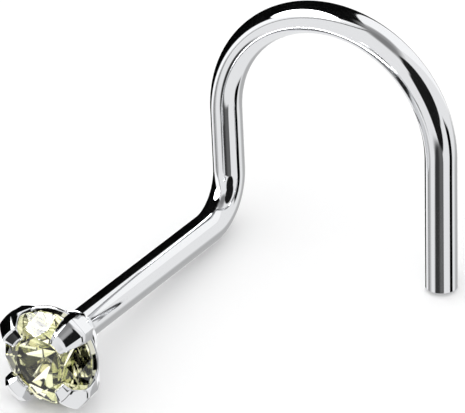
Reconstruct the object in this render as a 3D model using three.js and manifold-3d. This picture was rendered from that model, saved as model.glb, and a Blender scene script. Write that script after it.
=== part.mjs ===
// Screw-type nose stud: a round brilliant held by four claws of a basket, whose straight
// wire post bends into a flat U-shaped hook. Basket, claws, post and hook are one soldered
// piece of metal; the stone is a piece of its own.
//
// Wearing frame while building: +Z runs along the post from the hook to the stone and
// the hook lies in the plane z = 0. At the end the stud is turned as it lies by itself,
// on its setting, its bend and the end of its hook. All sizes are in millimetres.

import * as THREE from 'three';
import { mergeVertices } from 'three/addons/utils/BufferGeometryUtils.js';
import { ConvexHull } from 'three/addons/math/ConvexHull.js';
import Module from 'manifold-3d';

// Wire: post and hook
const wireDiameter = 0.8;
const bendToGirdle = 8.6;        // from the hook's plane to the middle of the girdle
const bendRadius = 1.2;          // centre line, between post and hook
const firstLegLength = 2.8;      // from the corner of the bend to the start of the arch
const firstLegDeg = 47.4;        // direction of that leg in the hook's plane
const archRadius = 3.05;         // centre line
const archSweepDeg = 181.5;
const lastLegLength = 3.49;
const endRounding = 0.1;         // small radius round the cut end
const wireSides = 28;
const bendSteps = 10;
const archSteps = 44;
const endSteps = 3;

// Stone: standard round brilliant
const stoneDiameter = 2.4;
const girdleThickness = 0.07;
const tableShare = 0.565;        // of the diameter, over the table's corners
const crownShare = 0.162;        // crown height over the diameter
const pavilionShare = 0.43;      // pavilion depth over the diameter
const starShare = 0.52;          // how far the star facets reach to the girdle
const lowerHalfShare = 0.77;     // how far the lower halves reach to the culet
const stoneFolds = 8;
const stoneTurnDeg = 12;         // of the stone's main facets from the hook's x axis
const stoneGap = 0.02;           // radially and in height, between stone and setting

// Setting: a basket whose rim is cut down between four claws. Its sizes start at the stone's.
const clawCount = 4;
const clawTurnDeg = 6;           // of the first claw from the hook's x axis
const rimOverhang = 0.03;        // of the cut-down rim outside the girdle
const rimDrop = 0.24;            // of that rim below the middle of the girdle
const rimBevel = 0.03;           // drop from the rim's inner to its outer edge
const culetRoom = 0.12;          // between the culet and the basket's inner floor
const floorThickness = 0.2;      // of the basket's back
const baseRadius = 0.58;         // of the basket's back
const baseBevel = 0.04;          // of the back's edge
const axisLeanDeg = 3.7;         // of the basket from the post, to the hook's x axis
const axisShift = [0, -0.125];   // of the stone and its basket from the post's axis
const solderHeight = 0.22;       // of the fillet of solder round the post
const solderWidth = 0.12;
const solderInto = 0.02;         // how far the solder's edges run into wire and basket
const solderSides = 32;
const postIntoBase = 0.12;        // how far the wire enters the basket's floor
const ribOverhang = 0.18;        // of the claws outside the girdle, level with the rim
const clawOverhang = 0.22;       // of the claws outside the girdle, at their widest
const clawReach = 0.46;          // of the claws over the stone, inwards from the girdle
const clawRise = 0.6;            // of the claws above the middle of the girdle
const clawTipHalfDeg = 14;       // half width of a claw at its tip, as an angle
const clawRootHalfDeg = 20;      // half width of a claw at the rim, as an angle
const sideOverhang = 0.5;        // share of the overhang left at a claw's sides
const sideRise = 0.85;           // share of the rise left at a claw's sides
const edgeRound = 0.05;          // how far the wall's edge is domed
const tipSteps = 4;              // columns over half a claw's tip
const flankSteps = 5;            // columns over a claw's flank
const rimSteps = 3;              // columns over half the rim between two claws
const outerPoints = 9;           // along the wall's outer face
const innerPoints = 7;           // along the wall's inner face
const edgeSteps = 5;             // over the wall's rounded edge
const leastReach = 0.004;        // share of a claw's faces that the bare rim keeps

// Outlines of the setting as shares. Back: of the way out and up from the base to the rim,
// between the claws and along a claw's rib. Claw: of the overhang or the reach, and of the
// rise. Hollow: of the seat's radius and of the floor's depth.
const basketLine = [[0.1, 0.14], [0.24, 0.34], [0.52, 0.62], [0.78, 0.83]];
const ribLine = [[0.16, 0.1], [0.42, 0.32], [0.68, 0.55], [0.88, 0.79]];
const clawBackLine = [[0.9, 0], [1, 0.24], [0.82, 0.56], [0.25, 0.8]];
const clawTopLine = [[0.22, 0.94], [0.55, 1], [0.85, 0.97]];
const hollowLine = [[0.93, 0.28], [0.57, 0.62], [0.27, 0.93]];
const solderLine = [[0.12, 0.55], [0.4, 0.2], [1, 0]];   // of its width and its height

const metalName = 'post_hook_and_claw_setting';
const stoneName = 'round_brilliant_stone';
const deg = Math.PI / 180;
const wireRadius = wireDiameter / 2;

const wasm = await Module();
wasm.setup();

// Solids are built as rings of points and joined as closed bodies

function toSolid(geometry) {
  const bare = new THREE.BufferGeometry();
  bare.setAttribute('position', geometry.getAttribute('position'));
  if (geometry.index) bare.setIndex(geometry.index);
  const merged = mergeVertices(bare, 1e-6);
  const vertProperties = new Float32Array(merged.getAttribute('position').array);
  const triVerts = new Uint32Array(merged.index.array);
  return new wasm.Manifold(new wasm.Mesh({ numProp: 3, vertProperties, triVerts }));
}

function toGeometry(solid) {
  const mesh = solid.getMesh();
  const geometry = new THREE.BufferGeometry();
  const positions = new Float32Array(mesh.numVert * 3);
  for (let i = 0; i < mesh.numVert; i += 1) {
    for (let k = 0; k < 3; k += 1) {
      positions[3 * i + k] = mesh.vertProperties[mesh.numProp * i + k];
    }
  }
  geometry.setAttribute('position', new THREE.BufferAttribute(positions, 3));
  geometry.setIndex(Array.from(mesh.triVerts));
  return geometry;
}

// Closed skin over equal rings of points, with a point at each end
function skin(first, rings, last) {
  const points = [first, ...rings.flat(), last];
  const count = rings[0].length;
  const index = [];
  for (let j = 0; j < count; j += 1) {
    const next = (j + 1) % count;
    index.push(0, 1 + next, 1 + j);
    for (let i = 0; i + 1 < rings.length; i += 1) {
      const low = 1 + i * count;
      const high = low + count;
      index.push(low + j, low + next, high + next);
      index.push(low + j, high + next, high + j);
    }
    const top = 1 + (rings.length - 1) * count;
    index.push(points.length - 1, top + j, top + next);
  }
  const geometry = new THREE.BufferGeometry();
  geometry.setFromPoints(points);
  geometry.setIndex(index);
  return geometry;
}

// Centre line of the wire, as stations with a place, a direction and a radius
function wireStations() {
  const up = new THREE.Vector3(0, 0, 1);
  const leg = new THREE.Vector3(Math.cos(firstLegDeg * deg), Math.sin(firstLegDeg * deg), 0);
  const inward = new THREE.Vector3(leg.y, -leg.x, 0);
  const stations = [];
  const add = (place, way, radius = wireRadius) => {
    stations.push({ place: place.clone(), way: way.clone().normalize(), radius });
  };
  const down = up.clone().negate();
  add(new THREE.Vector3(0, 0, bendToGirdle - baseDrop + postIntoBase), down);
  const bendCentre = leg.clone().add(up).multiplyScalar(bendRadius);
  for (let i = 0; i <= bendSteps; i += 1) {
    const turn = (i / bendSteps) * 90 * deg;
    const place = bendCentre.clone();
    place.addScaledVector(leg, -bendRadius * Math.cos(turn));
    place.addScaledVector(up, -bendRadius * Math.sin(turn));
    const way = down.clone().multiplyScalar(Math.cos(turn)).addScaledVector(leg, Math.sin(turn));
    add(place, way);
  }
  const archCentre = leg.clone().multiplyScalar(firstLegLength);
  archCentre.addScaledVector(inward, archRadius);
  for (let i = 0; i <= archSteps; i += 1) {
    const turn = (i / archSteps) * archSweepDeg * deg;
    const place = archCentre.clone().addScaledVector(inward, -archRadius * Math.cos(turn));
    place.addScaledVector(leg, archRadius * Math.sin(turn));
    const way = leg.clone().multiplyScalar(Math.cos(turn)).addScaledVector(inward, Math.sin(turn));
    add(place, way);
  }
  const archEnd = stations[stations.length - 1];
  for (let i = 0; i <= endSteps; i += 1) {
    const turn = (i / endSteps) * 90 * deg;
    const along = lastLegLength - endRounding * (1 - Math.sin(turn));
    const radius = wireRadius - endRounding * (1 - Math.cos(turn));
    add(archEnd.place.clone().addScaledVector(archEnd.way, along), archEnd.way, radius);
  }
  return stations;
}

function wireSolid() {
  const stations = wireStations();
  let side = new THREE.Vector3(1, 0, 0);
  const rings = stations.map(({ place, way, radius }) => {
    side = side.clone().addScaledVector(way, -side.dot(way)).normalize();
    const other = way.clone().cross(side);
    const ring = [];
    for (let j = 0; j < wireSides; j += 1) {
      const angle = (j / wireSides) * 2 * Math.PI;
      const point = place.clone().addScaledVector(side, radius * Math.cos(angle));
      ring.push(point.addScaledVector(other, radius * Math.sin(angle)));
    }
    return ring;
  });
  return toSolid(skin(stations[0].place, rings, stations[stations.length - 1].place));
}

// Places of the stone's corners, as radii and as heights from the middle of its girdle
const halfFold = 180 / stoneFolds;
const across = Math.cos(halfFold * deg);
const girdleRadius = stoneDiameter / 2;
const girdleHalf = girdleThickness / 2;
const tableRadius = girdleRadius * tableShare;
const tableHeight = girdleHalf + stoneDiameter * crownShare;
const culetHeight = -girdleHalf - stoneDiameter * pavilionShare;
const crownSlope = (tableHeight - girdleHalf) / (girdleRadius - tableRadius);
const pavilionSlope = (-girdleHalf - culetHeight) / girdleRadius;
const starRadius = tableRadius * across + starShare * (girdleRadius - tableRadius * across);
const starHeight = tableHeight - (starRadius * across - tableRadius) * crownSlope;
const lowerRadius = girdleRadius * (1 - lowerHalfShare);
const lowerHeight = culetHeight + lowerRadius * across * pavilionSlope;
const floorDrop = culetRoom - culetHeight;
const baseDrop = floorDrop + floorThickness;

function stoneSolid() {
  const at = (radius, angle, height) => {
    const turned = (angle + stoneTurnDeg) * deg;
    return [radius * Math.cos(turned), radius * Math.sin(turned), height];
  };
  const corners = [];
  const facet = (...points) => {
    for (let i = 1; i + 1 < points.length; i += 1) {
      corners.push(...points[0], ...points[i], ...points[i + 1]);
    }
  };
  for (let k = 0; k < stoneFolds; k += 1) {
    const here = 2 * halfFold * k;
    const mid = here + halfFold;
    const next = here + 2 * halfFold;
    const star = at(starRadius, mid, starHeight);
    const lower = at(lowerRadius, mid, lowerHeight);
    facet([0, 0, tableHeight], at(tableRadius, here, tableHeight), at(tableRadius, next, tableHeight));
    facet(at(tableRadius, here, tableHeight), star, at(tableRadius, next, tableHeight));
    facet(at(tableRadius, here, tableHeight), at(girdleRadius, here, girdleHalf), star);
    facet(at(tableRadius, next, tableHeight), star, at(girdleRadius, next, girdleHalf));
    for (const [from, to] of [[here, mid], [mid, next]]) {
      const topFrom = at(girdleRadius, from, girdleHalf);
      const topTo = at(girdleRadius, to, girdleHalf);
      const lowFrom = at(girdleRadius, from, -girdleHalf);
      const lowTo = at(girdleRadius, to, -girdleHalf);
      facet(star, topFrom, topTo);
      facet(topFrom, lowFrom, lowTo, topTo);
      facet(lower, lowTo, lowFrom);
    }
    facet([0, 0, culetHeight], lower, at(girdleRadius, here, -girdleHalf));
    facet([0, 0, culetHeight], at(girdleRadius, next, -girdleHalf), lower);
  }
  const geometry = new THREE.BufferGeometry();
  geometry.setAttribute('position', new THREE.Float32BufferAttribute(corners, 3));
  return toSolid(geometry);
}

// Wall of the setting, as radii and heights. Its back and its outer face are domed over
// each claw: the dome is 1 at a claw's middle and 0 at its sides and between the claws.
function settingFaces(dome) {
  const mix = THREE.MathUtils.lerp;
  const wide = girdleRadius + stoneGap;
  const seat = girdleHalf + stoneGap;
  const seatSlope = (seat + lowerHeight) / (girdleRadius - lowerRadius);
  const seatStart = wide + (rimDrop - seat) / seatSlope;
  const rim = [girdleRadius + mix(rimOverhang, ribOverhang, dome), -rimDrop - rimBevel];
  const overhang = clawOverhang * mix(sideOverhang, 1, dome);
  const rise = clawRise * mix(sideRise, 1, dome);
  const back = [
    [baseRadius - baseBevel, -baseDrop],
    [baseRadius, -baseDrop + baseBevel],
  ];
  basketLine.forEach((share, i) => {
    const out = mix(share[0], ribLine[i][0], dome);
    const up = mix(share[1], ribLine[i][1], dome);
    back.push([mix(baseRadius, rim[0], out), mix(-baseDrop + baseBevel, rim[1], up)]);
  });
  const outer = [rim];
  for (const [out, up] of clawBackLine) outer.push([girdleRadius + out * overhang, up * rise]);
  for (const [over, up] of clawTopLine) outer.push([girdleRadius - over * clawReach, up * rise]);
  const star = [starRadius + stoneGap, starHeight + stoneGap];
  const table = [tableRadius + stoneGap, tableHeight + stoneGap];
  const tip = girdleRadius - clawReach;
  const tipShare = (tip - star[0]) / (table[0] - star[0]);
  const inner = [
    [seatStart, -rimDrop],
    [wide, -seat],
    [wide, seat],
    star,
    [tip, mix(star[1], table[1], tipShare)],
  ];
  const hollow = hollowLine.map(([out, down]) => [out * seatStart, -down * floorDrop]);
  return { back, outer, inner, hollow };
}

// The first part of a line of points, again as the given number of points
function partOf(points, share, count) {
  const lengths = [0];
  for (let i = 1; i < points.length; i += 1) {
    const step = Math.hypot(points[i][0] - points[i - 1][0], points[i][1] - points[i - 1][1]);
    lengths.push(lengths[i - 1] + step);
  }
  const result = [];
  for (let i = 0; i < count; i += 1) {
    const target = (lengths[lengths.length - 1] * share * i) / (count - 1);
    let j = 1;
    while (j + 1 < points.length && lengths[j] < target) j += 1;
    const part = (target - lengths[j - 1]) / (lengths[j] - lengths[j - 1]);
    result.push([0, 1].map((k) => THREE.MathUtils.lerp(points[j - 1][k], points[j][k], part)));
  }
  return result;
}

// Rounded edge of the wall, between the ends of its outer and its inner face
function edge(from, to, steps) {
  const line = [to[0] - from[0], to[1] - from[1]];
  const length = Math.hypot(...line);
  const dome = Math.min(edgeRound, 0.3 * length);
  const ahead = [(line[1] / length) * dome, (-line[0] / length) * dome];
  const result = [];
  for (let i = 1; i < steps; i += 1) {
    const turn = (i / steps) * Math.PI;
    const side = 0.5 - 0.5 * Math.cos(turn);
    const rise = Math.sin(turn);
    result.push([0, 1].map((k) => from[k] + line[k] * side + ahead[k] * rise));
  }
  return result;
}

function settingSolid() {
  const halfPitch = 180 / clawCount;
  const offsets = [];
  const spread = (from, to, steps) => {
    for (let i = 0; i < steps; i += 1) offsets.push(from + ((to - from) * i) / steps);
  };
  spread(0, clawTipHalfDeg, tipSteps);
  spread(clawTipHalfDeg, clawRootHalfDeg, flankSteps);
  spread(clawRootHalfDeg, halfPitch, rimSteps);
  const angles = [];
  for (let k = 0; k < clawCount; k += 1) {
    const claw = 2 * k * halfPitch;
    for (const offset of offsets) angles.push([claw + offset, offset]);
    angles.push([claw + halfPitch, halfPitch]);
    for (const offset of offsets.slice(1).reverse()) {
      angles.push([claw + 2 * halfPitch - offset, offset]);
    }
  }
  const columns = angles.map(([angle, offset]) => {
    const flank = (clawRootHalfDeg - offset) / (clawRootHalfDeg - clawTipHalfDeg);
    const reach = THREE.MathUtils.clamp(flank, leastReach, 1);
    const dome = Math.max(0, 1 - (offset / clawRootHalfDeg) ** 2);
    const { back, outer, inner, hollow } = settingFaces(dome);
    const outside = partOf(outer, reach, outerPoints);
    const inside = partOf(inner, reach, innerPoints);
    const cap = edge(outside[outside.length - 1], inside[inside.length - 1], edgeSteps);
    const section = [...back, ...outside, ...cap, ...inside.reverse(), ...hollow];
    const turned = (angle + clawTurnDeg) * deg;
    return section.map(([radius, height]) => {
      return new THREE.Vector3(radius * Math.cos(turned), radius * Math.sin(turned), height);
    });
  });
  const rings = columns[0].map((point, i) => columns.map((column) => column[i]));
  const first = new THREE.Vector3(0, 0, -baseDrop);
  const last = new THREE.Vector3(0, 0, -floorDrop);
  return toSolid(skin(first, rings, last));
}

// Fillet of solder between the post and the basket's back, round the post's axis
function solderSolid() {
  const inside = wireRadius - solderInto;
  const outline = [
    [inside, -baseDrop - solderHeight],
    ...solderLine.map(([out, down]) => {
      return [wireRadius + out * solderWidth, -baseDrop - down * solderHeight];
    }),
    [wireRadius + solderWidth, -baseDrop + solderInto],
  ];
  const rings = outline.map(([radius, height]) => {
    const ring = [];
    for (let j = 0; j < solderSides; j += 1) {
      const angle = (j / solderSides) * 2 * Math.PI;
      ring.push(new THREE.Vector3(radius * Math.cos(angle), radius * Math.sin(angle), height));
    }
    return ring;
  });
  const first = new THREE.Vector3(0, 0, -baseDrop - solderHeight);
  return toSolid(skin(first, rings, new THREE.Vector3(0, 0, -baseDrop + solderInto)));
}

// The stud lies on the widest facet of its hull under the hook's outer side
const roughDown = new THREE.Vector3(-0.877, -0.481, -0.11).normalize();
const searchDeg = 15;            // how far that facet's normal may be from the rough one

function restingTurn(points) {
  const hull = new ConvexHull().setFromPoints(points);
  const near = hull.faces.filter((face) => {
    return face.normal.dot(roughDown) > Math.cos(searchDeg * deg);
  });
  near.sort((a, b) => b.area - a.area);
  const settle = new THREE.Quaternion();
  settle.setFromUnitVectors(near[0].normal, new THREE.Vector3(0, 0, -1));
  const stoneWay = new THREE.Vector3(0, 0, 1).applyQuaternion(settle);
  const yaw = -Math.PI / 2 - Math.atan2(stoneWay.y, stoneWay.x);
  const spin = new THREE.Quaternion().setFromAxisAngle(new THREE.Vector3(0, 0, 1), yaw);
  return spin.multiply(settle);
}

const lift = [0, 0, bendToGirdle];
const lean = [0, axisLeanDeg, 0];
const place = [...axisShift, bendToGirdle];
const soldered = wireSolid().add(solderSolid().translate(lift));
const metal = soldered.add(settingSolid().rotate(lean).translate(place));
const stone = stoneSolid().rotate(lean).translate(place);
const bodies = [
  [metalName, toGeometry(metal), { color: 0xc9ccd0, roughness: 0.16, metalness: 1.0 }],
  [stoneName, toGeometry(stone), { color: 0xdfe6a0, roughness: 0.02, metalness: 0.0 }],
];

const cloud = [];
for (const [, geometry] of bodies) {
  const places = geometry.getAttribute('position');
  for (let i = 0; i < places.count; i += 1) {
    cloud.push(new THREE.Vector3().fromBufferAttribute(places, i));
  }
}
const turn = restingTurn(cloud);
const extent = new THREE.Box3().setFromPoints(cloud.map((point) => point.applyQuaternion(turn)));
const middle = extent.getCenter(new THREE.Vector3());

const stud = new THREE.Group();
stud.name = 'nose_stud';
for (const [name, geometry, look] of bodies) {
  geometry.applyQuaternion(turn);
  geometry.translate(-middle.x, -middle.y, -extent.min.z);
  geometry.computeVertexNormals();
  const mesh = new THREE.Mesh(geometry, new THREE.MeshStandardMaterial(look));
  mesh.name = name;
  stud.add(mesh);
}

export default stud;
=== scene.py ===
import bpy
import math
from mathutils import Matrix, Vector


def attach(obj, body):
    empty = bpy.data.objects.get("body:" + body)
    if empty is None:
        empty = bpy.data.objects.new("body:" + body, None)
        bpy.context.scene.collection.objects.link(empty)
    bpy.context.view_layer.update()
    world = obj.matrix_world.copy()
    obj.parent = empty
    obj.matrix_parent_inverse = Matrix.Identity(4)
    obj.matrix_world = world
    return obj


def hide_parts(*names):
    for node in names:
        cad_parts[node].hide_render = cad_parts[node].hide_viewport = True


# Screw-type nose stud: a round brilliant in a claw basket on a bent wire. Pieces are built in
# the stud's wearing frame in millimetres, with +Z along the post towards the stone and the
# hook in the plane z = 0, and are then turned and put down as the stud lies by itself.

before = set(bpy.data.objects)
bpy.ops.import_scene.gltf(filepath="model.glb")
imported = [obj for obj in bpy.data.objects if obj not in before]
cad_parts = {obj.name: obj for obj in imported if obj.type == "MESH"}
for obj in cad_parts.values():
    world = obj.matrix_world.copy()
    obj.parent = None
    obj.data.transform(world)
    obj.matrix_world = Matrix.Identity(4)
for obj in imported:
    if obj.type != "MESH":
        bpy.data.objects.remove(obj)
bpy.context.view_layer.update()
print("frame loaded")

milli = 0.001
deg = math.pi / 180

# How the unworn stud lies: its post rises towards the stone and the hook stands upright
lie = {"postRise": 7.2493, "hookTurn": 47.85}

# View of the stud from the camera: angles in degrees, its aim in pixels of the photograph
camera = {"offAxis": 40.61, "bearing": 37.61, "distance": 150.0, "right": -1.4, "up": -3.6,
          "pixel": 0.025, "imageWidth": 465, "sensor": 36.0, "nearest": 0.005, "farthest": 10.0}


def srgb(text, alpha=1.0):
    values = [int(text[i:i + 2], 16) / 255 for i in (1, 3, 5)]
    linear = [v / 12.92 if v <= 0.04045 else ((v + 0.055) / 1.055) ** 2.4 for v in values]
    return (*linear, alpha)


def addNode(tree, kind, inputs=None, **settings):
    node = tree.nodes.new(kind)
    for name, value in settings.items():
        setattr(node, name, value)
    for key, value in (inputs or {}).items():
        if isinstance(value, bpy.types.NodeSocket):
            tree.links.new(value, node.inputs[key])
        else:
            node.inputs[key].default_value = value
    return node


def mix(a, b, share):
    return a + (b - a) * share


# The same polyline with its points at equal steps
def resample(points, count):
    lengths = [0.0]
    for a, b in zip(points, points[1:]):
        lengths.append(lengths[-1] + math.dist(a, b))
    result = []
    j = 0
    for i in range(count):
        target = lengths[-1] * i / (count - 1)
        while j + 2 < len(points) and lengths[j + 1] < target:
            j += 1
        share = (target - lengths[j]) / max(1e-9, lengths[j + 1] - lengths[j])
        result.append(tuple(mix(p, q, share) for p, q in zip(points[j], points[j + 1])))
    return result


# Polyline with its inner corners cut back and rounded
def rounded(points, radius, steps=6):
    result = [points[0]]
    for before, corner, after in zip(points, points[1:], points[2:]):
        back = min(radius, 0.45 * math.dist(before, corner))
        ahead = min(radius, 0.45 * math.dist(after, corner))
        start = [c + (b - c) * back / math.dist(before, corner) for b, c in zip(before, corner)]
        end = [c + (a - c) * ahead / math.dist(after, corner) for a, c in zip(after, corner)]
        for i in range(steps + 1):
            t = i / steps
            result.append(tuple((1 - t) ** 2 * s + 2 * t * (1 - t) * c + t * t * e
                                for s, c, e in zip(start, corner, end)))
    result.append(points[-1])
    return result


# Wire: post, bend and U-shaped hook, along one centre line. Lengths are in millimetres and
# angles in degrees; the steps are the points along each part.
wire = {"radius": 0.4, "sides": 64, "girdleAt": 8.6, "bendRadius": 1.2, "firstLeg": 2.8,
        "legBearing": 47.4, "archRadius": 3.05, "archSweep": 181.5, "lastLeg": 3.49,
        "endRounding": 0.1, "intoBase": 0.12, "baseDrop": 1.387, "postSteps": 40,
        "bendSteps": 24, "firstSteps": 12, "archSteps": 120, "lastSteps": 20, "endSteps": 8}


# Centre line as points, each with its share of the wire's radius
def wirePath(w):
    up = Vector((0, 0, 1))
    leg = Vector((math.cos(w["legBearing"] * deg), math.sin(w["legBearing"] * deg), 0))
    inward = Vector((leg.y, -leg.x, 0))
    path = []
    top = w["girdleAt"] - w["baseDrop"] + w["intoBase"]
    for i in range(w["postSteps"]):
        path.append((up * (top + (w["bendRadius"] - top) * i / w["postSteps"]), 1.0))
    centre = (leg + up) * w["bendRadius"]
    for i in range(w["bendSteps"] + 1):
        turn = i / w["bendSteps"] * 90 * deg
        path.append((centre - leg * w["bendRadius"] * math.cos(turn)
                     - up * w["bendRadius"] * math.sin(turn), 1.0))
    straight = w["firstLeg"] - w["bendRadius"]
    for i in range(1, w["firstSteps"]):
        path.append((leg * (w["bendRadius"] + straight * i / w["firstSteps"]), 1.0))
    centre = leg * w["firstLeg"] + inward * w["archRadius"]
    for i in range(w["archSteps"] + 1):
        turn = i / w["archSteps"] * w["archSweep"] * deg
        path.append((centre - inward * w["archRadius"] * math.cos(turn)
                     + leg * w["archRadius"] * math.sin(turn), 1.0))
    start = path[-1][0]
    way = leg * math.cos(turn) + inward * math.sin(turn)
    for i in range(1, w["lastSteps"]):
        along = (w["lastLeg"] - w["endRounding"]) * i / w["lastSteps"]
        path.append((start + way * along, 1.0))
    for i in range(w["endSteps"] + 1):
        turn = i / w["endSteps"] * 90 * deg
        along = w["lastLeg"] - w["endRounding"] * (1 - math.sin(turn))
        path.append((start + way * along,
                     1 - w["endRounding"] / w["radius"] * (1 - math.cos(turn))))
    return path


def newObject(name, points, faces, edges=()):
    mesh = bpy.data.meshes.new(name)
    mesh.from_pydata([tuple(p) for p in points], list(edges), faces)
    mesh.update()
    item = bpy.data.objects.new(name, mesh)
    bpy.context.scene.collection.objects.link(item)
    return item


def newGroup(name, sockets):
    tree = bpy.data.node_groups.new(name, "GeometryNodeTree")
    tree.interface.new_socket("Geometry", in_out="INPUT", socket_type="NodeSocketGeometry")
    ids = {}
    for label, kind in sockets.items():
        ids[label] = tree.interface.new_socket(label, in_out="INPUT", socket_type=kind).identifier
    tree.interface.new_socket("Geometry", in_out="OUTPUT", socket_type="NodeSocketGeometry")
    return tree, ids, addNode(tree, "NodeGroupInput"), addNode(tree, "NodeGroupOutput")


# Gives the object the tree's result as a plain mesh
def runGroup(item, tree, ids, values):
    modifier = item.modifiers.new(tree.name, "NODES")
    modifier.node_group = tree
    for label, value in values.items():
        modifier[ids[label]] = value
    bpy.context.view_layer.update()
    result = bpy.data.meshes.new_from_object(
        item.evaluated_get(bpy.context.evaluated_depsgraph_get()))
    item.modifiers.remove(modifier)
    item.data = result
    return item


# Geometry nodes that sweep a round section along a line of edges
def sweepTree():
    tree, ids, start, end = newGroup("wire along its centre line", {
        "Wire radius": "NodeSocketFloat", "Sides": "NodeSocketInt", "Metal": "NodeSocketMaterial"})
    curve = addNode(tree, "GeometryNodeMeshToCurve", {"Mesh": start.outputs["Geometry"]})
    share = addNode(tree, "GeometryNodeInputNamedAttribute", {"Name": "share"}, data_type="FLOAT")
    sized = addNode(tree, "GeometryNodeSetCurveRadius",
                    {"Curve": curve.outputs["Curve"], "Radius": share.outputs["Attribute"]})
    ring = addNode(tree, "GeometryNodeCurvePrimitiveCircle",
                   {"Resolution": start.outputs["Sides"], "Radius": start.outputs["Wire radius"]})
    swept = addNode(tree, "GeometryNodeCurveToMesh",
                    {"Curve": sized.outputs["Curve"], "Profile Curve": ring.outputs["Curve"],
                     "Fill Caps": True})
    real = addNode(tree, "GeometryNodeRealizeInstances", {"Geometry": swept.outputs["Mesh"]})
    coated = addNode(tree, "GeometryNodeSetMaterial",
                     {"Geometry": real.outputs["Geometry"], "Material": start.outputs["Metal"]})
    tree.links.new(coated.outputs["Geometry"], end.inputs["Geometry"])
    return tree, ids


# Geometry nodes that set copies of a sector round the post's axis and weld their edges
def roundTree():
    tree, ids, start, end = newGroup("section repeated round the post's axis", {
        "Copies": "NodeSocketInt", "Turn": "NodeSocketFloat", "Weld": "NodeSocketFloat",
        "Material": "NodeSocketMaterial"})
    line = addNode(tree, "GeometryNodeMeshLine",
                   {"Count": start.outputs["Copies"], "Offset": (0.0, 0.0, 0.0)})
    index = addNode(tree, "GeometryNodeInputIndex")
    pitch = addNode(tree, "ShaderNodeMath", {0: 2 * math.pi, 1: start.outputs["Copies"]},
                    operation="DIVIDE")
    angle = addNode(tree, "ShaderNodeMath",
                    {0: index.outputs["Index"], 1: pitch.outputs[0], 2: start.outputs["Turn"]},
                    operation="MULTIPLY_ADD")
    turn = addNode(tree, "ShaderNodeCombineXYZ", {"Z": angle.outputs[0]})
    copies = addNode(tree, "GeometryNodeInstanceOnPoints",
                     {"Points": line.outputs["Mesh"], "Instance": start.outputs["Geometry"],
                      "Rotation": turn.outputs["Vector"]})
    real = addNode(tree, "GeometryNodeRealizeInstances", {"Geometry": copies.outputs["Instances"]})
    welded = addNode(tree, "GeometryNodeMergeByDistance",
                     {"Geometry": real.outputs["Geometry"], "Distance": start.outputs["Weld"]})
    coated = addNode(tree, "GeometryNodeSetMaterial",
                     {"Geometry": welded.outputs["Geometry"],
                      "Material": start.outputs["Material"]})
    tree.links.new(coated.outputs["Geometry"], end.inputs["Geometry"])
    return tree, ids


# Polished surgical steel: drawn wire and a cast basket, mirror-polished together
def steelMaterial():
    material = bpy.data.materials.new("polishedSurgicalSteel")
    material.use_nodes = True
    tree = material.node_tree
    shader = tree.nodes["Principled BSDF"]
    shader.inputs["Base Color"].default_value = srgb("#e9eaec")
    shader.inputs["Metallic"].default_value = 1.0
    place = addNode(tree, "ShaderNodeTexCoord")
    haze = addNode(tree, "ShaderNodeTexNoise",
                   {"Vector": place.outputs["Object"], "Scale": 900.0, "Detail": 4.0})
    rough = addNode(tree, "ShaderNodeMapRange",
                    {"Value": haze.outputs["Fac"], "From Min": 0.35, "From Max": 0.7,
                     "To Min": 0.035, "To Max": 0.085})
    tree.links.new(rough.outputs["Result"], shader.inputs["Roughness"])
    ripple = addNode(tree, "ShaderNodeTexNoise",
                     {"Vector": place.outputs["Object"], "Scale": 420.0, "Detail": 2.0})
    bump = addNode(tree, "ShaderNodeBump", {"Height": ripple.outputs["Fac"],
                   "Strength": 0.05, "Distance": 0.0001})
    tree.links.new(bump.outputs["Normal"], shader.inputs["Normal"])
    return material


# Pale yellow-green cubic zirconia: clear, with flat-lapped and polished facets. The facets
# under its girdle are coated with a thin silvery foil, as in closed settings, and each is
# painted a little lighter or darker than the next, as painted light and shade for the stone's
# bright and dark wedges.
def stoneMaterial():
    material = bpy.data.materials.new("paleGreenFoiledStone")
    material.use_nodes = True
    tree = material.node_tree
    shader = tree.nodes["Principled BSDF"]
    shader.inputs["Transmission Weight"].default_value = 1.0
    shader.inputs["IOR"].default_value = 1.62
    backed = addNode(tree, "ShaderNodeAttribute", attribute_name="backed")
    tree.links.new(backed.outputs["Fac"], shader.inputs["Metallic"])
    rough = addNode(tree, "ShaderNodeMapRange", {"Value": backed.outputs["Fac"], "To Min": 0.0,
                                                 "To Max": 0.04})
    tree.links.new(rough.outputs["Result"], shader.inputs["Roughness"])
    # Painted light and shade: each foiled facet gets its own lightness, which stands in for the
    # stone's bright and dark wedges
    paintedWedgeShade = addNode(tree, "ShaderNodeAttribute", attribute_name="paintedWedgeShade")
    foilAndPaintedShade = addNode(tree, "ShaderNodeMix",
                   {"Factor": paintedWedgeShade.outputs["Fac"], 6: srgb("#d4d6b6"), 7: srgb("#fbf8e6")},
                   data_type="RGBA")
    tint = addNode(tree, "ShaderNodeMix",
                   {"Factor": backed.outputs["Fac"], 6: srgb("#fcfcf5"), 7: foilAndPaintedShade.outputs[2]},
                   data_type="RGBA")
    tree.links.new(tint.outputs[2], shader.inputs["Base Color"])
    return material


steel = steelMaterial()
gem = stoneMaterial()

path = wirePath(wire)
wireItem = newObject("drawn_wire", [p for p, share in path], [],
                     [(i, i + 1) for i in range(len(path) - 1)])
shares = wireItem.data.attributes.new("share", "FLOAT", "POINT")
shares.data.foreach_set("value", [share for p, share in path])
tree, ids = sweepTree()
runGroup(wireItem, tree, ids, {"Wire radius": wire["radius"], "Sides": wire["sides"],
                               "Metal": steel})
print("wire swept")

# Stone: standard round brilliant, heights from the middle of its girdle
stone = {"radius": 1.2, "girdleHalf": 0.035, "tableShare": 0.565, "crown": 0.3888,
         "pavilion": 1.032, "starShare": 0.52, "lowerShare": 0.77, "folds": 8, "turn": 12.0,
         "paintedShadeStep": 2.4, "backedBelow": -0.2, "weld": 0.0001}


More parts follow.
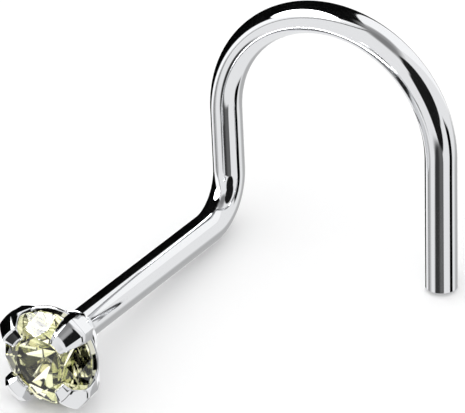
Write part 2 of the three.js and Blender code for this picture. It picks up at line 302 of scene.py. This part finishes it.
# Corners of the cut as radius and height
def stoneHeights(s):
    half = math.pi / s["folds"]
    table = s["radius"] * s["tableShare"]
    top = s["girdleHalf"] + s["crown"]
    slope = s["crown"] / (s["radius"] - table)
    star = table * math.cos(half) + s["starShare"] * (s["radius"] - table * math.cos(half))
    culet = -s["girdleHalf"] - s["pavilion"]
    lower = s["radius"] * (1 - s["lowerShare"])
    return {"table": (table, top), "culet": (0.0, culet),
            "star": (star, top - (star * math.cos(half) - table) * slope),
            "lower": (lower, culet + lower * math.cos(half) * s["pavilion"] / s["radius"])}


# One fold of the stone's facets as points and faces, the last four under the girdle
def stoneFold(s):
    half = math.pi / s["folds"]
    spots = stoneHeights(s)

    def at(spot, step):
        return (spot[0] * math.cos(step * half), spot[0] * math.sin(step * half), spot[1])

    high = (s["radius"], s["girdleHalf"])
    low = (s["radius"], -s["girdleHalf"])
    points = [(0.0, 0.0, spots["table"][1]), at(spots["table"], 0), at(spots["table"], 2),
              at(spots["star"], 1), at(high, 0), at(high, 1), at(high, 2), at(low, 0),
              at(low, 1), at(low, 2), at(spots["lower"], 1), (0.0, 0.0, spots["culet"][1])]
    faces = [(0, 1, 2), (1, 3, 2), (1, 4, 3), (2, 3, 6), (3, 4, 5), (3, 5, 6), (4, 7, 8, 5),
             (5, 8, 9, 6), (10, 8, 7), (10, 9, 8), (11, 10, 7), (11, 9, 10)]
    return points, faces


stoneItem = newObject("cut_stone", *stoneFold(stone))
turns, turnIds = roundTree()
runGroup(stoneItem, turns, turnIds, {"Copies": stone["folds"], "Turn": stone["turn"] * deg,
                                     "Weld": stone["weld"], "Material": gem})
facets = stoneItem.data.polygons
backed = stoneItem.data.attributes.new("backed", "FLOAT", "FACE")
backed.data.foreach_set("value", [1.0 if face.normal.z < stone["backedBelow"] else 0.0
                                  for face in facets])
# Painted light and shade: a lightness for each facet, from the sine of its index, for the stone's
# bright and dark wedges
paintedWedgeShades = stoneItem.data.attributes.new("paintedWedgeShade", "FLOAT", "FACE")
paintedWedgeShades.data.foreach_set("value", [0.5 + 0.5 * math.sin(stone["paintedShadeStep"] * face.index)
                                 for face in facets])
print("stone cut")

# Setting: a basket whose rim is cut down between four claws bent over the stone. The lines
# under it are outlines as shares of its widths and heights.
basket = {"copies": 4, "turn": 6.0, "tipHalf": 14.5, "rootHalf": 19.5, "columns": 120,
          "rim": 1.23, "rib": 1.38, "rimDrop": 0.24, "bevel": 0.03, "floorDrop": 1.187,
          "baseDrop": 1.387, "base": 0.58, "baseBevel": 0.04, "overhang": 0.22, "rise": 0.6,
          "sideOverhang": 0.35, "sideRise": 0.82, "flat": 0.5, "reach": 0.46, "gap": 0.024,
          "edge": 0.05, "edgeShare": 0.3, "sidePower": 0.4, "risePower": 0.5, "lean": 3.7,
          "shift": (0.0, -0.125), "weld": 0.0003, "backRounding": 0.08, "outerRounding": 0.06,
          "innerRounding": 0.02, "reachPoints": 240, "backPoints": 48, "outerPoints": 60,
          "edgePoints": 20, "innerPoints": 44, "hollowPoints": 18}
basketLine = [(0.1, 0.14), (0.24, 0.34), (0.52, 0.62), (0.78, 0.83)]
ribLine = [(0.16, 0.1), (0.42, 0.32), (0.68, 0.55), (0.88, 0.79)]
clawBackLine = [(0.9, 0.0), (1.0, 0.24), (0.88, 0.44)]
clawTopLine = [(0.34, 0.99), (0.9, 0.9)]
hollowLine = [(0.93, 0.28), (0.57, 0.62), (0.27, 0.93), (0.0, 1.0)]


# Outlines of the wall as radius and height. Back and floor reach from the axis to the rim;
# the outer and the inner face go from the rim to the tip of a claw.
def basketFaces(b, dome):
    spots = stoneHeights(stone)
    girdle = stone["radius"]
    wide = girdle + b["gap"]
    seat = stone["girdleHalf"] + b["gap"]
    slope = (seat + spots["lower"][1]) / (girdle - spots["lower"][0])
    seatStart = wide + (b["rimDrop"] - seat) / slope
    rim = (mix(b["rim"], b["rib"], dome), -b["rimDrop"] - b["bevel"])
    overhang = b["overhang"] * mix(b["sideOverhang"], 1.0, dome)
    rise = b["rise"] * mix(b["sideRise"], 1.0, dome)
    low = -b["baseDrop"]
    back = [(0.0, low), (b["base"] - b["baseBevel"], low), (b["base"], low + b["baseBevel"])]
    for plain, rib in zip(basketLine, ribLine):
        out = mix(plain[0], rib[0], dome)
        up = mix(plain[1], rib[1], dome)
        back.append((mix(b["base"], rim[0], out), mix(low + b["baseBevel"], rim[1], up)))
    back.append(rim)
    outer = [rim]
    outer += [(girdle + out * overhang, up * rise) for out, up in clawBackLine]
    outer += [(girdle - over * b["reach"], up * rise) for over, up in clawTopLine]
    star = [v + b["gap"] for v in spots["star"]]
    table = [v + b["gap"] for v in spots["table"]]
    tip = girdle - b["reach"]
    inner = [(seatStart, -b["rimDrop"]), (wide, -seat), (wide, seat), tuple(star),
             (tip, mix(star[1], table[1], (tip - star[0]) / (table[0] - star[0])))]
    hollow = [(out * seatStart, -down * b["floorDrop"]) for out, down in hollowLine]
    return (rounded(back, b["backRounding"]), rounded(outer, b["outerRounding"]),
            rounded(inner, b["innerRounding"]), hollow)


# Start of a polyline, up to a share of its length
def upTo(points, share, count):
    return resample(points, count)[:max(2, round(1 + share * (count - 1)))]


# The wall's top edge, a flattened dome from the outer face to the inner one
def edgeCap(b, start, end):
    start = Vector(start)
    across = Vector(end) - start
    ahead = Vector((across.y, -across.x)).normalized()
    bulge = min(b["edge"], b["edgeShare"] * across.length)
    cap = []
    for i in range(1, b["edgePoints"]):
        turn = math.pi * i / b["edgePoints"]
        bend = math.cos(turn)
        side = 0.5 - 0.5 * math.copysign(abs(bend) ** b["sidePower"], bend)
        rise = abs(math.sin(turn)) ** b["risePower"]
        cap.append(tuple(start + across * side + ahead * bulge * rise))
    return cap


# Half section of the basket at an angle from the middle of a claw
def basketSection(b, offset):
    flank = (b["rootHalf"] - offset) / (b["rootHalf"] - b["tipHalf"])
    reach = min(1.0, max(0.0, flank))
    dome = min(1.0, max(0.0, 1 - offset / b["rootHalf"]) / (1 - b["flat"]))
    back, outer, inner, hollow = basketFaces(b, dome)
    outside = upTo(outer, reach, b["reachPoints"])
    inside = upTo(inner, reach, b["reachPoints"])
    return (resample(back, b["backPoints"]) + resample(outside, b["outerPoints"])[1:]
            + edgeCap(b, outside[-1], inside[-1]) + resample(inside[::-1], b["innerPoints"])
            + resample(hollow, b["hollowPoints"]))


# Skin over sections side by side, which start and end on the axis
def skinQuarter(sections, angles):
    rows = len(sections[0])
    points = [(r * math.cos(angle * deg), r * math.sin(angle * deg), h)
              for section, angle in zip(sections, angles) for r, h in section]
    faces = []
    for i in range(len(sections) - 1):
        for j in range(rows - 1):
            low = i * rows + j
            high = low + rows
            if j == 0:
                faces.append((low, high + 1, low + 1))
            elif j == rows - 2:
                faces.append((low, high, low + 1))
            else:
                faces.append((low, high, high + 1, low + 1))
    return points, faces


halfPitch = 180 / basket["copies"]
angles = [mix(-halfPitch, halfPitch, i / basket["columns"]) for i in range(basket["columns"] + 1)]
sections = [basketSection(basket, abs(angle)) for angle in angles]
basketItem = newObject("claw_basket", *skinQuarter(sections, angles))
runGroup(basketItem, turns, turnIds, {"Copies": basket["copies"], "Turn": basket["turn"] * deg,
                                      "Weld": basket["weld"], "Material": steel})
seatPlace = (Matrix.Translation((*basket["shift"], wire["girdleAt"]))
             @ Matrix.Rotation(basket["lean"] * deg, 4, "Y"))
for item in (basketItem, stoneItem):
    item.data.transform(seatPlace)
print("basket turned")

# Fillet of solder round the post, against the basket's back
solder = {"copies": 4, "columns": 16, "width": 0.12, "height": 0.22, "into": 0.02,
          "rounding": 0.06, "weld": 0.0003}
solderLine = [(0.12, 0.55), (0.4, 0.2), (1.0, 0.0)]


def solderSection(s):
    reach = wire["radius"] + s["width"]
    line = [(0.0, -s["height"]), (wire["radius"] - s["into"], -s["height"])]
    line += [(mix(wire["radius"], reach, out), -s["height"] * down) for out, down in solderLine]
    line += [(reach, s["into"]), (0.0, s["into"])]
    return rounded(line, s["rounding"])


sector = 360 / solder["copies"]
angles = [mix(0.0, sector, i / solder["columns"]) for i in range(solder["columns"] + 1)]
solderItem = newObject("solder", *skinQuarter([solderSection(solder)] * len(angles), angles))
runGroup(solderItem, turns, turnIds, {"Copies": solder["copies"], "Turn": 0.0,
                                      "Weld": solder["weld"], "Material": steel})
solderItem.data.transform(Matrix.Translation((0, 0, wire["girdleAt"] - basket["baseDrop"])))
print("solder run in")

# Edges of the metal that turn by more than this stay crisp, in degrees
crispAbove = 18


def joinAll(name, items):
    with bpy.context.temp_override(active_object=items[0], selected_editable_objects=items):
        bpy.ops.object.join()
    items[0].name = name
    return items[0]


metalItem = joinAll("post_hook_and_setting", [wireItem, basketItem, solderItem])
metalItem.data.shade_smooth()
metalItem.data.set_sharp_from_angle(angle=crispAbove * deg)

# The stud is turned and put down as it lies
rise = lie["postRise"] * deg
turn = lie["hookTurn"] * deg
postWay = Vector((0, -math.cos(rise), math.sin(rise)))
sideWay = Vector((1, 0, 0)) * math.cos(turn) + postWay.cross(Vector((1, 0, 0))) * math.sin(turn)
otherWay = postWay.cross(sideWay)
lying = Matrix((sideWay, otherWay, postWay)).transposed()
places = [lying @ v.co for item in (metalItem, stoneItem) for v in item.data.vertices]
low = Vector([min(p[k] for p in places) for k in range(3)])
high = Vector([max(p[k] for p in places) for k in range(3)])
settle = Vector((-(low.x + high.x) / 2, -(low.y + high.y) / 2, -low.z))
move = Matrix.Scale(milli, 4) @ Matrix.Translation(settle) @ lying.to_4x4()
for item in (metalItem, stoneItem):
    item.data.transform(move)
    item.data.update()
print("stud put down", [round(v, 3) for v in settle])

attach(metalItem, "root")
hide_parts("post_hook_and_claw_setting")
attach(stoneItem, "root")
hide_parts("round_brilliant_stone")

# Camera at the photograph's angle, aimed past the bend
off = camera["offAxis"] * deg
bearing = camera["bearing"] * deg
postSeen = Vector((-math.sin(off) * math.cos(bearing), -math.sin(off) * math.sin(bearing),
                   math.cos(off)))
sideSeen = Vector((math.cos(off) * math.cos(bearing), math.cos(off) * math.sin(bearing),
                   math.sin(off)))
otherSeen = postSeen.cross(sideSeen)
axes = [sideWay * sideSeen[k] + otherWay * otherSeen[k] + postWay * postSeen[k] for k in range(3)]
bend = settle * milli
spot = bend + axes[2] * camera["distance"] * milli
spot -= axes[0] * camera["right"] * camera["pixel"] * milli
spot -= axes[1] * camera["up"] * camera["pixel"] * milli
cameraData = bpy.data.cameras.new("photoCamera")
cameraData.sensor_width = camera["sensor"]
cameraData.lens = (camera["sensor"] * camera["distance"]
                   / (camera["imageWidth"] * camera["pixel"]))
cameraData.clip_start = camera["nearest"]
cameraData.clip_end = camera["farthest"]
cameraItem = bpy.data.objects.new("photoCamera", cameraData)
bpy.context.scene.collection.objects.link(cameraItem)
cameraItem.matrix_world = Matrix.Translation(spot) @ Matrix(axes).transposed().to_4x4()
bpy.context.scene.camera = cameraItem
print("camera placed")

# Floor: a white, matt studio sweep, half its width in metres
floorHalf = 2


def floorMaterial():
    material = bpy.data.materials.new("whiteStudioPaper")
    material.use_nodes = True
    tree = material.node_tree
    shader = tree.nodes["Principled BSDF"]
    shader.inputs["Roughness"].default_value = 0.9
    shader.inputs["Specular IOR Level"].default_value = 0.1
    shader.inputs["Base Color"].default_value = srgb("#f7f7f7")
    return material


corners = [(-1, -1), (1, -1), (1, 1), (-1, 1)]
floorItem = newObject("studio_floor", [(x * floorHalf, y * floorHalf, 0) for x, y in corners],
                      [(0, 1, 2, 3)])
floorItem.data.materials.append(floorMaterial())
floorItem.visible_glossy = False
floorItem.visible_transmission = False


# Light: a white tent with dark and bright cards, which only polished faces and the stone show.
# A card is what lies within all its bounds, and later cards cover earlier ones. A bound is a
# direction from the stud as (right, up, towards the camera), with its cosine at the card's
# edge, the edge's softness and whether the card lies inside that edge.
crest = (-0.6, 0.75, -0.28)
hood = (-0.26, 0.88, -0.39)
down = (0, -1, 0)
right = (1, 0, 0)
band = (0.45, 0.35, -0.82)
frontBounds = [(down, 0.69, 0.03, True), (down, 0.83, 0.02, False),
               ((-0.3, -0.78, 0.55), 0.86, 0.02, True)]
tent = {"open": 0.93, "insideStone": 1.6, "floorLight": 1.15}
metalCards = [
    {"level": 0.5, "bounds": [((0.55, -0.3, -0.8), 0.9, 0.06, True)]},
    {"level": 0.52, "bounds": [((-0.86, -0.3, -0.4), 0.93, 0.03, True)]},
    {"level": 0.04, "bounds": [(crest, 0.33, 0.008, True), (crest, 0.365, 0.008, False)]},
    {"level": 1.2, "bounds": [(crest, 0.45, 0.03, True)]},
    {"level": 1.1, "bounds": [(hood, 0.3, 0.02, True)]},
    {"level": 0.0015, "bounds": [(hood, 0.36, 0.012, True),
                                 ((-0.97, 0, -0.24), -0.085, 0.012, True)]},
    {"level": 0.35, "bounds": [((0.1, 0.72, 0.69), 0.95, 0.04, True)]},
    {"level": 0.24, "bounds": [((-0.03, 0.5, 0.87), 0.958, 0.035, True)]},
    {"level": 0.008, "bounds": [((0.38, 0, 0.93), 0.903, 0.012, True)]},
    {"level": 0.42, "bounds": [((0, 0.24, 0.97), 0.9982, 0.001, True)]},
    {"level": 0.008, "bounds": [((0.16, -0.38, 0.91), 0.917, 0.01, True)]},
    {"level": 13.0, "bounds": [((-0.82, 0.44, 0.37), 0.945, 0.015, True)]},
    {"level": 0.045, "bounds": frontBounds},
    {"level": 0.14, "bounds": [*frontBounds, (right, -0.18, 0.14, True)]},
    {"level": 0.0015, "bounds": [(band, -0.02, 0.015, True), (band, 0.34, 0.015, False),
                                 (right, 0.6, 0.05, True), (down, 0.1, 0.05, True)]}]
stoneCards = [
    {"level": 0.55, "bounds": [((0.1, 0.15, 0.98), 0.95, 0.02, True)]},
    {"level": 0.05, "bounds": [((-0.66, 0.21, 0.72), 0.92, 0.015, True)]},
    {"level": 0.06, "bounds": [((0.84, -0.03, 0.54), 0.95, 0.012, True)]}]


def studio():
    world = bpy.data.worlds.new("studioTent")
    world.use_nodes = True
    bpy.context.scene.world = world
    tree = world.node_tree
    tree.nodes.clear()
    way = addNode(tree, "ShaderNodeTexCoord").outputs["Generated"]

    def compute(operation, a, b):
        return addNode(tree, "ShaderNodeMath", {0: a, 1: b}, operation=operation).outputs[0]

    def share(bound):
        direction, edge, soft, within = bound
        middle = sum((axis * part for axis, part in zip(axes, direction)), Vector())
        cosine = addNode(tree, "ShaderNodeVectorMath", {0: way, 1: middle.normalized()},
                         operation="DOT_PRODUCT")
        ramp = addNode(tree, "ShaderNodeMapRange",
                       {"Value": cosine.outputs["Value"], "From Min": edge - soft,
                        "From Max": edge + soft}, interpolation_type="SMOOTHSTEP")
        inside = ramp.outputs["Result"]
        return inside if within else compute("SUBTRACT", 1.0, inside)

    def paint(base, mask, value):
        return addNode(tree, "ShaderNodeMix", {"Factor": mask, 2: base, 3: value},
                       data_type="FLOAT").outputs[0]

    def paintAll(level, cards):
        for card in cards:
            mask = share(card["bounds"][0])
            for bound in card["bounds"][1:]:
                mask = compute("MULTIPLY", mask, share(bound))
            level = paint(level, mask, card["level"])
        return level

    rays = addNode(tree, "ShaderNodeLightPath").outputs
    level = paintAll(tent["open"], metalCards)
    inside = paintAll(tent["insideStone"], stoneCards)
    shown = compute("MAXIMUM", rays["Is Glossy Ray"], rays["Is Transmission Ray"])
    seen = paint(level, rays["Is Transmission Ray"], inside)
    final = paint(tent["floorLight"], shown, seen)
    glow = addNode(tree, "ShaderNodeBackground", {"Color": (1, 1, 1, 1), "Strength": final})
    addNode(tree, "ShaderNodeOutputWorld", {"Surface": glow.outputs["Background"]})


studio()
bpy.context.scene.view_settings.view_transform = "Standard"
bpy.context.scene.view_settings.look = "None"
print("studio lit")
